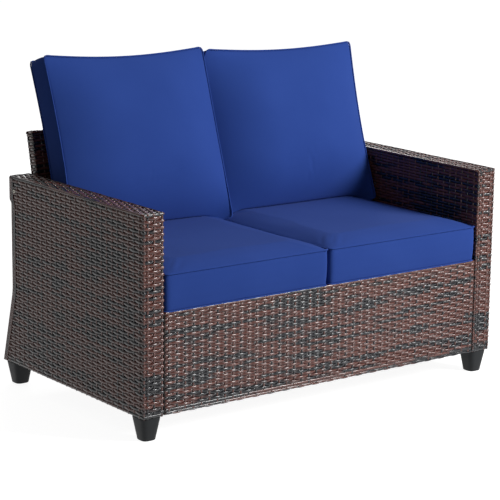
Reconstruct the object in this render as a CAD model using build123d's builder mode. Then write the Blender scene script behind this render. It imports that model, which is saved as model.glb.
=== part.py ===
from build123d import *
import os
from math import atan, cos, radians, sin, tan

# A two-seat patio loveseat that ships flat: two woven arms, a woven seat base and a woven
# back panel on welded tube frames, bolted together, with two seat and two back cushions.
# X runs across the seat, Y from the front to the back and Z up. The origin is on the floor,
# in the middle of the plan. The left side is the one at -X.

# Overall sizes
overall_width = 1160.0
overall_depth = 680.0
seat_height = 324.0
arm_height = 574.0
back_height = 690.0
foot_height = 62.0

# Arms
arm_width = 64.0
arm_rear_margin = 25.0
arm_band = 62.0
arm_overhang = 9.0
arm_rake_height = 262.0
arm_bend_radius = 150.0
arm_tube = 18.0
arm_wall = 1.2
arm_round = 5.0
brace_bar = 10.0
brace_front_height = 266.0
brace_rear_share = 0.92
weave_thick = 3.0

# Seat base
base_depth = 582.0
base_tube = 20.0
base_wall = 1.2
cross_bar_count = 3
deck_thick = 4.0
apron_thick = 3.0
apron_gap = 2.0

# Back panel
back_lean = 12.0
back_tube = 25.0
back_wall = 1.2
back_post_count = 4
back_round = 6.0

# Feet
foot_bottom = 40.0
foot_top = 57.0
foot_round = 4.0
foot_inset = 34.0
foot_plate = 50.0
foot_rim = 5.0
stud_radius = 4.0
stud_length = 40.0
stud_depth = 26.0

# Bolts, washers and nuts
bolt_radius = 3.0
bolt_hole_radius = 3.3
head_radius = 5.5
head_height = 2.8
head_taper = 20.0
socket_radius = 2.3
socket_depth = 1.6
washer_radius = 7.0
washer_thick = 1.2
nut_radius = 5.5
nut_height = 5.0
stud_nut_radius = 7.5
stud_nut_height = 6.5
thread_gap = 0.05
bolt_spare = 2.0
side_bolt_shares = (0.12, 0.5, 0.86)
back_bolt_shares = (-0.82, -0.3, 0.3, 0.82)

# Seat cushions
seat_box = 93.0
seat_crown = 16.0
seat_press = 1.2
seat_side_gap = 1.6
seat_front_gap = 1.0
seat_corner = 26.0
seat_draw_in = 4.0
seat_bulge = 4.0
seat_rim = 9.0
seat_front_slope = 90.0
seat_side_slope = 64.0
seat_rear_slope = 18.0

# Back cushions
pillow_side_gap = 2.0
pillow_tilt = 17.5
pillow_reach = 419.0
pillow_height = 479.0
pillow_sink = 14.0
pillow_box = 72.0
pillow_front_crown = 42.0
pillow_rear_crown = 61.0
pillow_corner = 24.0
pillow_draw_in = 11.0
pillow_top_dip = 21.0
pillow_slope = 150.0

# Cushion make-up
cloth_thick = 1.5
filling_gap = 0.3
soft_gap = 0.3

# Rise of a cushion's face from its seam, as shares of the crown, and how far in from the
# seam that rise is reached, as shares of the slope
crown_rise_shares = (0.0, 0.3, 0.55, 0.78, 0.93, 1.0)
crown_reach_shares = (0.0, 0.06, 0.17, 0.36, 0.63, 1.0)
crown_corner_share = 0.35

front = -overall_depth / 2
rear = overall_depth / 2
inner_half = overall_width / 2 - arm_width
arm_middle = overall_width / 2 - arm_width / 2
base_rear = front + base_depth
deck_under = seat_height - deck_thick
seat_rail_middle = deck_under - base_tube / 2
sides = (("left", -1), ("right", 1))

# The back panel leans back about the rear edge of the seat base
back_thick = back_tube + 2 * weave_thick
lean_slope = tan(radians(back_lean))
back_across = back_thick / cos(radians(back_lean))
back_half = inner_half - apron_gap
back_front_normal = Vector(0, -cos(radians(back_lean)), sin(radians(back_lean)))


def back_line(height, share):
    """Y on the leaning panel at a height: share 0 is its front face and share 1 its rear face."""
    return base_rear + (height - seat_height) * lean_slope - (1 - share) * back_across


def square_tube(start, end, size, wall, flat=(1, 0, 0)):
    """A hollow square tube about the line from start to end, with two faces square to flat."""
    run = Vector(*end) - Vector(*start)
    with BuildSketch(Plane(origin=start, x_dir=flat, z_dir=run)) as ring:
        Rectangle(size, size)
        Rectangle(size - 2 * wall, size - 2 * wall, mode=Mode.SUBTRACT)
    extrude(ring.sketch, amount=run.length)


def drill(places, radius, depth):
    """Round holes from each plane in places, along its normal."""
    with BuildSketch(*places) as holes:
        Circle(radius)
    extrude(holes.sketch, amount=depth, mode=Mode.SUBTRACT)


def bolts(places, length):
    """Low button-head bolts: each head stands behind its plane and the shank runs ahead of it."""
    with BuildSketch(*places) as shanks:
        Circle(bolt_radius)
    extrude(shanks.sketch, amount=length)
    with BuildSketch(*places) as heads:
        Circle(head_radius)
    extrude(heads.sketch, amount=-head_height, taper=head_taper)
    with BuildSketch(*[place.offset(-head_height) for place in places]) as sockets:
        RegularPolygon(socket_radius, 6)
    extrude(sockets.sketch, amount=socket_depth, mode=Mode.SUBTRACT)


def washers(places):
    """Flat washers that end on each plane, where the bolted part begins."""
    with BuildSketch(*places) as rings:
        Circle(washer_radius)
        Circle(bolt_hole_radius, mode=Mode.SUBTRACT)
    extrude(rings.sketch, amount=-washer_thick)


def nuts(places, outer_radius, hole_radius, height):
    """Hexagonal weld nuts that start on each plane."""
    with BuildSketch(*places) as rings:
        RegularPolygon(outer_radius, 6)
        Circle(hole_radius, mode=Mode.SUBTRACT)
    extrude(rings.sketch, amount=height)


# Bolt places. Three bolts a side hold the seat base to the arms, one a side holds the top
# of the back panel to an arm's rear post, and a row holds the panel down on the base.
side_bolt_ys = [front + share * base_depth for share in side_bolt_shares]
back_bolt_xs = [share * inner_half for share in back_bolt_shares]
back_rail_low = seat_height + weave_thick
back_rail_middle = back_rail_low + base_tube / 2
back_bolt_y = back_line(back_rail_middle, 1 / 2)
high_bolt_z = arm_height - weave_thick - 2 * arm_tube
high_bolt_y = back_line(high_bolt_z, 1 / 2)

# The arm reaches a margin behind its bolt to the back panel, and steps in under its top band
arm_top_rear = high_bolt_y + arm_rear_margin
arm_waist = arm_top_rear - arm_overhang


def side_places(side, distance):
    """Planes facing the arm on the axes of the seat base's bolts, this far from the middle."""
    return [
        Plane(origin=(side * distance, y, seat_rail_middle), x_dir=(0, 1, 0), z_dir=(side, 0, 0))
        for y in side_bolt_ys
    ]


def high_place(side, distance):
    """A plane facing the middle on the axis of the bolt through the arm's rear post."""
    return Plane(
        origin=(side * distance, high_bolt_y, high_bolt_z), x_dir=(0, 1, 0), z_dir=(-side, 0, 0)
    )


def back_places(height):
    """Planes facing up on the axes of the bolts under the back panel."""
    return [Plane(origin=(x, back_bolt_y, height), z_dir=(0, 0, 1)) for x in back_bolt_xs]


def arm_outline(plane):
    """The arm from the side: upright front, level top, overhanging band, raked rear leg."""
    with BuildSketch(plane) as outline:
        with BuildLine():
            Polyline(
                (front, foot_height),
                (front, arm_height),
                (arm_top_rear, arm_height),
                (arm_top_rear, arm_height - arm_band),
                (arm_waist, arm_height - arm_band - arm_overhang),
                (arm_waist, arm_rake_height),
                (rear, foot_height),
                close=True,
            )
        make_face()
        bend = outline.vertices().sort_by_distance((arm_waist, arm_rake_height))[0]
        fillet(bend, radius=arm_bend_radius)
    return outline.sketch


os.makedirs("parts", exist_ok=True)

# Arm weave: a skin of flat strands woven round the arm's frame, open along its underside
# between the two bottom rails, where the foot plates lie.
arm_plate_top = foot_height + weave_thick
loop_gap = arm_width - 2 * weave_thick - 2 * arm_tube
foot_ys = (front + foot_inset, rear - foot_inset)
slot_length = foot_ys[1] - foot_ys[0]
head_recess_radius = head_radius + weave_thick / 2

for side_name, side in sides:
    middle = Plane.YZ.offset(side * arm_middle)
    with BuildPart() as arm_weave:
        extrude(arm_outline(middle), amount=arm_width / 2, both=True)
        cheeks = arm_weave.faces().sort_by(Axis.X)
        rims = cheeks[0].edges() + cheeks[-1].edges()
        fillet(rims.filter_by(lambda edge: edge.center().Z > arm_plate_top), radius=arm_round)
        with BuildSketch(middle):
            add(arm_outline(Plane.XY))
            offset(amount=-weave_thick, kind=Kind.INTERSECTION, mode=Mode.REPLACE)
        extrude(amount=arm_width / 2 - weave_thick, both=True, mode=Mode.SUBTRACT)
        with BuildSketch(Plane.XY.offset(foot_height)):
            with Locations((side * arm_middle, 0)):
                Rectangle(loop_gap, slot_length)
            with Locations(*[(side * arm_middle, y) for y in foot_ys]):
                Rectangle(foot_plate, foot_plate)
        extrude(amount=weave_thick, mode=Mode.SUBTRACT)
        drill(side_places(side, inner_half), bolt_hole_radius, weave_thick)
        drill([high_place(side, overall_width / 2)], head_recess_radius, weave_thick)
        drill([high_place(side, inner_half + weave_thick)], bolt_hole_radius, weave_thick)
    arm_weave.part.label = f"arm_weave_{side_name}"
    export_step(arm_weave.part, f"parts/arm_weave_{side_name}.step")

# Arm frame: an outer and an inner loop of square tube, joined by short cross pieces and by
# the foot plates. The inner loop carries the rail that the seat base is bolted to, and the
# outer loop a sloping brace that shows through the weave as a faint crease.
half_tube = arm_tube / 2
post_front_y = front + weave_thick + half_tube
post_rear_y = arm_waist - weave_thick - half_tube
top_rail_z = arm_height - weave_thick - half_tube
low_rail_z = arm_plate_top + half_tube
post_low_z = low_rail_z + half_tube
post_high_z = top_rail_z - half_tube
rake_slope = (rear - arm_waist) / (arm_rake_height - foot_height)
rake_angle = atan(rake_slope)
post_inset = weave_thick + half_tube
post_foot_y = rear - post_inset / cos(rake_angle)
post_bend_z = arm_rake_height - post_inset * tan(rake_angle / 2)
low_rail_end = rear - rake_slope * (weave_thick + arm_tube) - weave_thick / cos(rake_angle)
outer_x = overall_width / 2 - weave_thick - half_tube
inner_x = inner_half + weave_thick + half_tube
rail_start_y = post_front_y + half_tube
brace_end_y = front + brace_rear_share * overall_depth
brace_fall = (brace_front_height - post_low_z) / (brace_end_y - rail_start_y)
brace_drop = brace_bar / cos(atan(brace_fall))
brace_face_x = overall_width / 2 - weave_thick
cross_places = (
    (post_front_y, top_rail_z),
    (0, top_rail_z),
    (post_rear_y, top_rail_z),
    (post_front_y, seat_rail_middle),
    (0, low_rail_z),
)

with BuildPart() as rear_post:
    with BuildLine(Plane.YZ) as bent:
        FilletPolyline(
            (post_rear_y, post_high_z),
            (post_rear_y, post_bend_z),
            (post_foot_y, foot_height),
            radius=arm_bend_radius + post_inset,
        )
    with BuildSketch(Plane(origin=bent.line @ 0, x_dir=(1, 0, 0), z_dir=bent.line % 0)):
        Rectangle(arm_tube, arm_tube)
        Rectangle(arm_tube - 2 * arm_wall, arm_tube - 2 * arm_wall, mode=Mode.SUBTRACT)
    sweep()
    split(bisect_by=Plane.XY.offset(post_low_z), keep=Keep.TOP)

for side_name, side in sides:
    with BuildPart() as arm_frame:
        for x in (side * outer_x, side * inner_x):
            for start, end in (
                ((x, post_front_y, arm_plate_top), (x, post_front_y, post_high_z)),
                ((x, front + weave_thick, top_rail_z), (x, arm_top_rear - weave_thick, top_rail_z)),
                ((x, rail_start_y, low_rail_z), (x, low_rail_end, low_rail_z)),
            ):
                square_tube(start, end, arm_tube, arm_wall)
            with Locations((x, 0, 0)):
                add(rear_post.part)
        rail_x = side * inner_x
        square_tube(
            (rail_x, rail_start_y, seat_rail_middle),
            (rail_x, post_rear_y - half_tube, seat_rail_middle),
            arm_tube,
            arm_wall,
        )
        for y, z in cross_places:
            start = (side * (inner_x + half_tube), y, z)
            end = (side * (outer_x - half_tube), y, z)
            square_tube(start, end, arm_tube, arm_wall, flat=(0, 1, 0))
        with BuildSketch(Plane.YZ.offset(side * brace_face_x)):
            with BuildLine():
                Polyline(
                    (rail_start_y, brace_front_height),
                    (brace_end_y, post_low_z),
                    (brace_end_y - brace_drop / brace_fall, post_low_z),
                    (rail_start_y, brace_front_height - brace_drop),
                    close=True,
                )
            make_face()
        extrude(amount=-side * brace_bar)
        with BuildSketch(Plane.XY.offset(foot_height)):
            with Locations(*[(side * arm_middle, y) for y in foot_ys]):
                Rectangle(foot_plate, foot_plate)
                Circle(stud_radius + thread_gap, mode=Mode.SUBTRACT)
        extrude(amount=weave_thick)
        drill(side_places(side, inner_half + weave_thick), bolt_hole_radius, arm_wall)
        drill([high_place(side, overall_width / 2)], bolt_hole_radius, arm_width)
    arm_frame.part.label = f"arm_frame_{side_name}"
    export_step(arm_frame.part, f"parts/arm_frame_{side_name}.step")

# Feet: tapered black plastic blocks, each on a stud moulded into it and screwed through the
# foot plate into a nut welded between the rails.
for end_name, foot_y in zip(("front", "rear"), foot_ys):
    for side_name, side in sides:
        with BuildPart() as foot:
            with BuildSketch(Plane(origin=(side * arm_middle, foot_y, 0))):
                RectangleRounded(foot_bottom, foot_bottom, foot_round)
            with BuildSketch(Plane(origin=(side * arm_middle, foot_y, foot_height - foot_rim))):
                RectangleRounded(foot_top, foot_top, foot_round)
            loft()
            with BuildSketch(Plane(origin=(side * arm_middle, foot_y, foot_height - foot_rim))):
                RectangleRounded(foot_top, foot_top, foot_round)
            extrude(amount=foot_rim)
            drill(
                [Plane(origin=(side * arm_middle, foot_y, foot_height - stud_depth))],
                stud_radius + thread_gap,
                stud_depth,
            )
        foot.part.label = f"foot_{end_name}_{side_name}"
        export_step(foot.part, f"parts/foot_{end_name}_{side_name}.step")

stud_bottoms = [
    Plane(origin=(side * arm_middle, y, foot_height - stud_depth)) for _, side in sides for y in foot_ys
]
with BuildPart() as foot_studs:
    with BuildSketch(*stud_bottoms):
        Circle(stud_radius)
    extrude(amount=stud_length)
foot_studs.part.label = "foot_studs"
export_step(foot_studs.part, "parts/foot_studs.step")

with BuildPart() as foot_nuts:
    plate_tops = [place.offset(stud_depth + weave_thick) for place in stud_bottoms]
    nuts(plate_tops, stud_nut_radius, stud_radius + thread_gap, stud_nut_height)
foot_nuts.part.label = "foot_nuts"
export_step(foot_nuts.part, "parts/foot_nuts.step")

# Seat base frame: a rectangle of square tube with cross bars.
half_base = base_tube / 2
base_edge_x = inner_half - half_base
base_front_y = front + apron_thick + half_base
base_rear_y = base_rear - apron_thick - half_base
base_low_z = foot_height + apron_thick + half_base
bar_step = 2 * base_edge_x / (cross_bar_count + 1)

with BuildPart() as seat_frame:
    for side in (-1, 1):
        square_tube(
            (side * base_edge_x, front + apron_thick, seat_rail_middle),
            (side * base_edge_x, base_rear - apron_thick, seat_rail_middle),
            base_tube,
            base_wall,
        )
    for bar in range(cross_bar_count):
        x = (bar + 1) * bar_step - base_edge_x
        square_tube(
            (x, base_front_y + half_base, seat_rail_middle),
            (x, base_rear_y - half_base, seat_rail_middle),
            base_tube,
            base_wall,
        )
    for y in (base_front_y, base_rear_y):
        start = (half_base - base_edge_x, y, seat_rail_middle)
        end = (base_edge_x - half_base, y, seat_rail_middle)
        square_tube(start, end, base_tube, base_wall, flat=(0, 1, 0))
    for side in (-1, 1):
        drill(side_places(side, inner_half - base_tube), bolt_hole_radius, base_tube)
    drill(back_places(deck_under - base_tube), bolt_hole_radius, base_tube)
seat_frame.part.label = "seat_frame"
export_step(seat_frame.part, "parts/seat_frame.step")

# Drop frames: three uprights and a bottom rail, welded up under the seat frame at the front
# and at the rear. Each carries an apron.
for end_name, y in (("front", base_front_y), ("rear", base_rear_y)):
    with BuildPart() as drop_frame:
        start = (half_base - base_edge_x, y, base_low_z)
        end = (base_edge_x - half_base, y, base_low_z)
        square_tube(start, end, base_tube, base_wall, flat=(0, 1, 0))
        for x, low_end in (
            (-base_edge_x, base_low_z - half_base),
            (0, base_low_z + half_base),
            (base_edge_x, base_low_z - half_base),
        ):
            square_tube((x, y, low_end), (x, y, deck_under - base_tube), base_tube, base_wall)
    drop_frame.part.label = f"drop_frame_{end_name}"
    export_step(drop_frame.part, f"parts/drop_frame_{end_name}.step")

# Seat base weave: a deck that the seat cushions lie on, and an apron at the front and at the
# rear, each turned in under its bottom rail and up behind it.
deck_front = front + apron_thick
deck_rear = base_rear - apron_thick
apron_half = inner_half - apron_gap

with BuildPart() as seat_deck_weave:
    with BuildSketch(Plane(origin=(0, (deck_front + deck_rear) / 2, deck_under))):
        Rectangle(2 * apron_half, deck_rear - deck_front)
    extrude(amount=deck_thick)
    drill(back_places(deck_under), bolt_hole_radius, deck_thick)
seat_deck_weave.part.label = "seat_deck_weave"
export_step(seat_deck_weave.part, "parts/seat_deck_weave.step")

for end_name, face_y, inward in (("front", front, 1), ("rear", base_rear, -1)):
    inner_face = face_y + inward * apron_thick
    rail_back = inner_face + inward * base_tube
    lip_back = rail_back + inward * apron_thick
    lip_top = foot_height + apron_thick + base_tube
    with BuildPart() as apron:
        with BuildSketch(Plane.YZ):
            with BuildLine():
                Polyline(
                    (face_y, foot_height),
                    (face_y, seat_height),
                    (inner_face, seat_height),
                    (inner_face, foot_height + apron_thick),
                    (rail_back, foot_height + apron_thick),
                    (rail_back, lip_top),
                    (lip_back, lip_top),
                    (lip_back, foot_height),
                    close=True,
                )
            make_face()
        extrude(amount=apron_half, both=True)
    apron.part.label = f"apron_weave_{end_name}"
    export_step(apron.part, f"parts/apron_weave_{end_name}.step")

# Back panel weave: a closed skin round the back frame. It stands on the deck and leans back.
panel_top_rear = (
    back_line(back_height, 0) + back_thick * cos(radians(back_lean)),
    back_height - back_thick * sin(radians(back_lean)),
)

with BuildPart() as back_weave:
    with BuildSketch(Plane.YZ) as panel_side:
        with BuildLine():
            Polyline(
                (back_line(seat_height, 0), seat_height),
                (back_line(back_height, 0), back_height),
                panel_top_rear,
                (back_line(seat_height, 1), seat_height),
                close=True,
            )
        make_face()
    extrude(amount=back_half, both=True)
    fillet(back_weave.edges().filter_by(Axis.X).group_by(Axis.Z)[-1], radius=back_round)
    with BuildSketch(Plane.YZ):
        add(panel_side.sketch_local)
        offset(amount=-weave_thick, kind=Kind.INTERSECTION, mode=Mode.REPLACE)
    extrude(amount=back_half - weave_thick, both=True, mode=Mode.SUBTRACT)
    drill(back_places(seat_height), bolt_hole_radius, weave_thick)
    for side in (-1, 1):
        drill([high_place(side, back_half)], bolt_hole_radius, weave_thick)
back_weave.part.label = "back_weave"
export_step(back_weave.part, "parts/back_weave.step")

# Back frame: a level bottom rail, leaning posts and a top rail.
panel_up = Vector(0, sin(radians(back_lean)), cos(radians(back_lean)))
rail_top = back_rail_low + base_tube
rail_half = back_half - weave_thick
rail_line = Vector(0, back_line(rail_top, 1 / 2), rail_top)
leaning_length = (back_height - rail_top) / cos(radians(back_lean)) - back_thick / 2 * lean_slope
top_tube_up = leaning_length - weave_thick - back_tube / 2
post_span = 2 * rail_half - back_tube

with BuildPart() as back_posts:
    for post in range(back_post_count):
        x = post * post_span / (back_post_count - 1) - post_span / 2
        start = rail_line + Vector(x, 0, 0) - panel_up * back_tube
        end = rail_line + Vector(x, 0, 0) + panel_up * (top_tube_up - back_tube / 2)
        square_tube(start, end, back_tube, back_wall)
    split(bisect_by=Plane.XY.offset(rail_top), keep=Keep.TOP)

with BuildPart() as back_frame:
    add(back_posts.part)
    start = rail_line + panel_up * top_tube_up - Vector(rail_half, 0, 0)
    end = rail_line + panel_up * top_tube_up + Vector(rail_half, 0, 0)
    square_tube(start, end, back_tube, back_wall, flat=back_front_normal)
    start = (-rail_half, back_bolt_y, back_rail_middle)
    end = (rail_half, back_bolt_y, back_rail_middle)
    square_tube(start, end, base_tube, base_wall, flat=(0, 1, 0))
    drill(back_places(back_rail_low), bolt_hole_radius, base_wall)
    for side in (-1, 1):
        drill([high_place(side, rail_half)], bolt_hole_radius, back_wall)
back_frame.part.label = "back_frame"
export_step(back_frame.part, "parts/back_frame.step")

# Fasteners. Each bolt starts at its washer or its recess and ends just past its weld nut.
side_grip = washer_thick + base_tube + weave_thick + arm_wall
back_grip = washer_thick + base_tube + deck_thick + weave_thick + base_wall
high_grip = overall_width / 2 - weave_thick - rail_half + back_wall

for side_name, side in sides:
    rail_places = side_places(side, inner_half - base_tube)
    with BuildPart() as side_bolts:
        starts = [place.offset(-washer_thick) for place in rail_places]
        bolts(starts, side_grip + nut_height + bolt_spare)
    side_bolts.part.label = f"side_bolts_{side_name}"
    export_step(side_bolts.part, f"parts/side_bolts_{side_name}.step")

    with BuildPart() as side_washers:
        washers(rail_places)
    side_washers.part.label = f"side_washers_{side_name}"
    export_step(side_washers.part, f"parts/side_washers_{side_name}.step")

    with BuildPart() as side_nuts:
        wall_places = side_places(side, inner_half + weave_thick + arm_wall)
        nuts(wall_places, nut_radius, bolt_radius + thread_gap, nut_height)
    side_nuts.part.label = f"side_nuts_{side_name}"
    export_step(side_nuts.part, f"parts/side_nuts_{side_name}.step")

rail_unders = back_places(deck_under - base_tube)
with BuildPart() as back_bolts:
    bolts([place.offset(-washer_thick) for place in rail_unders], back_grip + nut_height + bolt_spare)
back_bolts.part.label = "back_bolts"
export_step(back_bolts.part, "parts/back_bolts.step")

with BuildPart() as back_washers:
    washers(rail_unders)
back_washers.part.label = "back_washers"
export_step(back_washers.part, "parts/back_washers.step")

with BuildPart() as back_nuts:
    wall_places = back_places(back_rail_low + base_wall)
    nuts(wall_places, nut_radius, bolt_radius + thread_gap, nut_height)
back_nuts.part.label = "back_nuts"
export_step(back_nuts.part, "parts/back_nuts.step")

with BuildPart() as high_bolts:
    high_starts = [high_place(side, overall_width / 2 - weave_thick) for _, side in sides]
    bolts(high_starts, high_grip + nut_height + bolt_spare)
high_bolts.part.label = "high_bolts"
export_step(high_bolts.part, "parts/high_bolts.step")

with BuildPart() as high_nuts:
    wall_places = [high_place(side, rail_half - back_wall) for _, side in sides]
    nuts(wall_places, nut_radius, bolt_radius + thread_gap, nut_height)
high_nuts.part.label = "high_nuts"
export_step(high_nuts.part, "parts/high_nuts.step")


def cushion_section(plane, left, right, low, high, corner, draw_sides, draw_low, draw_high):
    """A cushion's outline in one plane: a rectangle with rounded corners and drawn-in sides."""
    bow = corner * (1 - cos(radians(45)))
    middle_x = (left + right) / 2
    middle_y = (low + high) / 2
    with BuildSketch(plane) as outline:
        with BuildLine():
            ThreePointArc((left + corner, low), (middle_x, low + draw_low), (right - corner, low))
            ThreePointArc((right - corner, low), (right - bow, low + bow), (right, low + corner))
            ThreePointArc((right, low + corner), (right - draw_sides, middle_y), (right, high - corner))
            ThreePointArc((right, high - corner), (right - bow, high - bow), (right - corner, high))
            ThreePointArc((right - corner, high), (middle_x, high - draw_high), (left + corner, high))
            ThreePointArc((left + corner, high), (left + bow, high - bow), (left, high - corner))
            ThreePointArc((left, high - corner), (left + draw_sides, middle_y), (left, low + corner))
            ThreePointArc((left, low + corner), (left + bow, low + bow), (left + corner, low))
        make_face()
    return outline.sketch


# Seat cushions: a foam block in a sewn cover with a boxed side and a crowned top. Each lies
# on the deck between an arm and the other cushion, with its front over the front apron.
seat_bottom = seat_height + soft_gap
seat_seam = seat_bottom + seat_box
seat_top = seat_seam + seat_crown
seat_back_y = back_line(seat_height, 0) - soft_gap


def seat_cushion(side, skin):
    """A seat cushion's form, drawn in by skin on every side."""
    near = seat_side_gap + skin
    far = inner_half - seat_side_gap - skin
    left, right = sorted((side * near, side * far))
    corner = seat_corner - skin
    box_rise = seat_box - 2 * skin
    box_low = seat_bottom + skin

    def section(rise, inset, reach_share, pull):
        return cushion_section(
            Plane.XY.offset(box_low + rise),
            left + inset + reach_share * seat_side_slope,
            right - inset - reach_share * seat_side_slope,
            front + seat_front_gap + skin + inset + reach_share * seat_front_slope,
            seat_back_y - skin - inset - reach_share * seat_rear_slope,
            corner + reach_share * crown_corner_share * seat_side_slope,
            pull,
            pull,
            pull,
        )

    loft(
        [
            section(0, seat_rim, 0, seat_draw_in),
            section(seat_rim, seat_bulge / 2, 0, seat_draw_in / 2),
            section(box_rise / 2, 0, 0, seat_draw_in / 2),
            section(box_rise - seat_rim, seat_bulge / 2, 0, seat_draw_in / 2),
            section(box_rise, seat_bulge, 0, seat_draw_in),
        ]
    )
    loft(
        [
            section(
                box_rise + rise_share * (seat_crown + seat_press), seat_bulge, reach_share, seat_draw_in
            )
            for rise_share, reach_share in zip(crown_rise_shares, crown_reach_shares)
        ],
        ruled=True,
    )
    split(bisect_by=Plane.XY.offset(seat_top - skin), keep=Keep.BOTTOM)


# Back cushions: fibre-filled, box-edged and crowned on both faces. Each stands on a seat
# cushion and leans on the back panel, and is flat where it meets either.
tilt = radians(pillow_tilt)
pillow_normal = Vector(0, -cos(tilt), sin(tilt))
pillow_middle_x = inner_half / 2
pillow_width = inner_half - 2 * pillow_side_gap
rest_height = seat_top + soft_gap
panel_front = Vector(0, back_line(seat_height, 0), seat_height)


def back_cushion(side, skin):
    """A back cushion's form, drawn in by skin on every side."""
    corner = pillow_corner - skin
    left = skin - pillow_width / 2
    right = pillow_width / 2 - skin
    low = skin - pillow_sink
    high = pillow_height - skin
    seam_origin = Vector(side * pillow_middle_x, front + pillow_reach, rest_height)
    seam = Plane(origin=seam_origin, x_dir=(1, 0, 0), z_dir=pillow_normal)

    def section(depth, inset):
        return cushion_section(
            seam.offset(depth),
            left + inset,
            right - inset,
            low + inset,
            high - inset,
            corner + crown_corner_share * inset,
            pillow_draw_in,
            pillow_draw_in,
            pillow_top_dip,
        )

    front_seam = -skin
    rear_seam = skin - pillow_box
    loft([section(rear_seam, 0), section(front_seam, 0)], ruled=True)
    for face, rise in ((front_seam, pillow_front_crown), (rear_seam, -pillow_rear_crown)):
        loft(
            [
                section(face + rise_share * rise, reach_share * pillow_slope)
                for rise_share, reach_share in zip(crown_rise_shares, crown_reach_shares)
            ],
            ruled=True,
        )
    split(bisect_by=Plane.XY.offset(rest_height + skin), keep=Keep.TOP)
    panel_plane = Plane(origin=panel_front, x_dir=(1, 0, 0), z_dir=back_front_normal)
    split(bisect_by=panel_plane.offset(soft_gap + skin), keep=Keep.TOP)


for form_name, filling_name, cushion_form in (
    ("seat", "foam", seat_cushion),
    ("back", "fill", back_cushion),
):
    for side_name, side in sides:
        with BuildPart() as filling:
            cushion_form(side, cloth_thick + filling_gap)
        filling.part.label = f"{form_name}_{filling_name}_{side_name}"
        export_step(filling.part, f"parts/{form_name}_{filling_name}_{side_name}.step")

        with BuildPart() as hollow:
            cushion_form(side, cloth_thick)
        with BuildPart() as cover:
            cushion_form(side, 0)
            add(hollow.part, mode=Mode.SUBTRACT)
        cover.part.label = f"{form_name}_cover_{side_name}"
        export_step(cover.part, f"parts/{form_name}_cover_{side_name}.step")
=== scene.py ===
import math

import bpy
import numpy as np
from mathutils import Matrix, Vector
from mathutils.bvhtree import BVHTree


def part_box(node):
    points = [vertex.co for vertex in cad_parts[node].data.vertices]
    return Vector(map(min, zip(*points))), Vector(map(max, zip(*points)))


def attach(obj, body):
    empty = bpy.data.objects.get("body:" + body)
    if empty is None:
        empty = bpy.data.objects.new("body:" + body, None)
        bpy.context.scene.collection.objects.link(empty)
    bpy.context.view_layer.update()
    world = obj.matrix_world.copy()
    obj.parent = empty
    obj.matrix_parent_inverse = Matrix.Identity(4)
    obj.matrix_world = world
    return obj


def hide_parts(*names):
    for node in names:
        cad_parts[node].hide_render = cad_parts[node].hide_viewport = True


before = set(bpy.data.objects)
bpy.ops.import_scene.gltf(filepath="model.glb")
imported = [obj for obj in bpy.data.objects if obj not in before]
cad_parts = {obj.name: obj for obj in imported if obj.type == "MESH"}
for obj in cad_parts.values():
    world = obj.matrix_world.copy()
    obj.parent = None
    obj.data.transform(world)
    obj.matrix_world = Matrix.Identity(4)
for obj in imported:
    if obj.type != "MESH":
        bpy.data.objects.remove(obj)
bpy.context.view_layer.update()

# Welded frames. Square steel tube, cut, welded and powder coated: a loop in each arm, the
# seat's rectangle with its two drop frames, and the frame inside the back panel.


def linear(hex_colour):
    """sRGB hex to linear RGBA: c / 12.92 in the dark, ((c + 0.055) / 1.055) to 2.4 above it."""
    channels = [int(hex_colour[i : i + 2], 16) / 255 for i in (1, 3, 5)]
    return (*[c / 12.92 if c <= 0.04045 else ((c + 0.055) / 1.055) ** 2.4 for c in channels], 1.0)


def new_material(name):
    """An empty material and its node tree."""
    material = bpy.data.materials.new(name)
    material.use_nodes = True
    material.node_tree.nodes.clear()
    return material, material.node_tree


def add_node(tree, kind, values=(), links=(), **settings):
    """One shader node: values and links go by socket name or number, settings by property."""
    node = tree.nodes.new(kind)
    for setting, value in settings.items():
        setattr(node, setting, value)
    for socket, value in dict(values).items():
        node.inputs[socket].default_value = value
    for socket, source in dict(links).items():
        tree.links.new(source, node.inputs[socket])
    return node


def dress(material, *names):
    """Gives CAD nodes a material in place of their own."""
    for name in names:
        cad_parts[name].data.materials.clear()
        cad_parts[name].data.materials.append(material)


# Polyester powder baked on steel: near black, half matt, with an orange-peel skin that is drawn
# coarser than the real 0.5 mm, so that it shows
powder_coat, tree = new_material("powder_coated_steel")
place = {"Vector": add_node(tree, "ShaderNodeTexCoord").outputs["Object"]}
peel_size = 0.0014
peel = add_node(tree, "ShaderNodeTexNoise", {"Scale": 1 / peel_size, "Detail": 2.0}, place)
patch_size = 0.09
patches = add_node(tree, "ShaderNodeTexNoise", {"Scale": 1 / patch_size, "Detail": 4.0}, place)
tones = {6: linear("#1f1c1b"), 7: linear("#2c2826")}
tone = add_node(tree, "ShaderNodeMix", tones, {0: patches.outputs[0]}, data_type="RGBA")
relief = {"Strength": 0.3, "Distance": 0.0002}
skin = add_node(tree, "ShaderNodeBump", relief, {"Height": peel.outputs[0]})
shader = add_node(
    tree,
    "ShaderNodeBsdfPrincipled",
    {"Roughness": 0.48, "Specular IOR Level": 0.45},
    {"Base Color": tone.outputs[2], "Normal": skin.outputs[0]},
)
add_node(tree, "ShaderNodeOutputMaterial", links={"Surface": shader.outputs[0]})
dress(powder_coat, *[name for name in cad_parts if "frame" in name])

# Bolts, washers, weld nuts and foot studs. Turned and pressed steel, zinc plated, screwed
# through the tubes from inside the seat base and from the arms.

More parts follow.
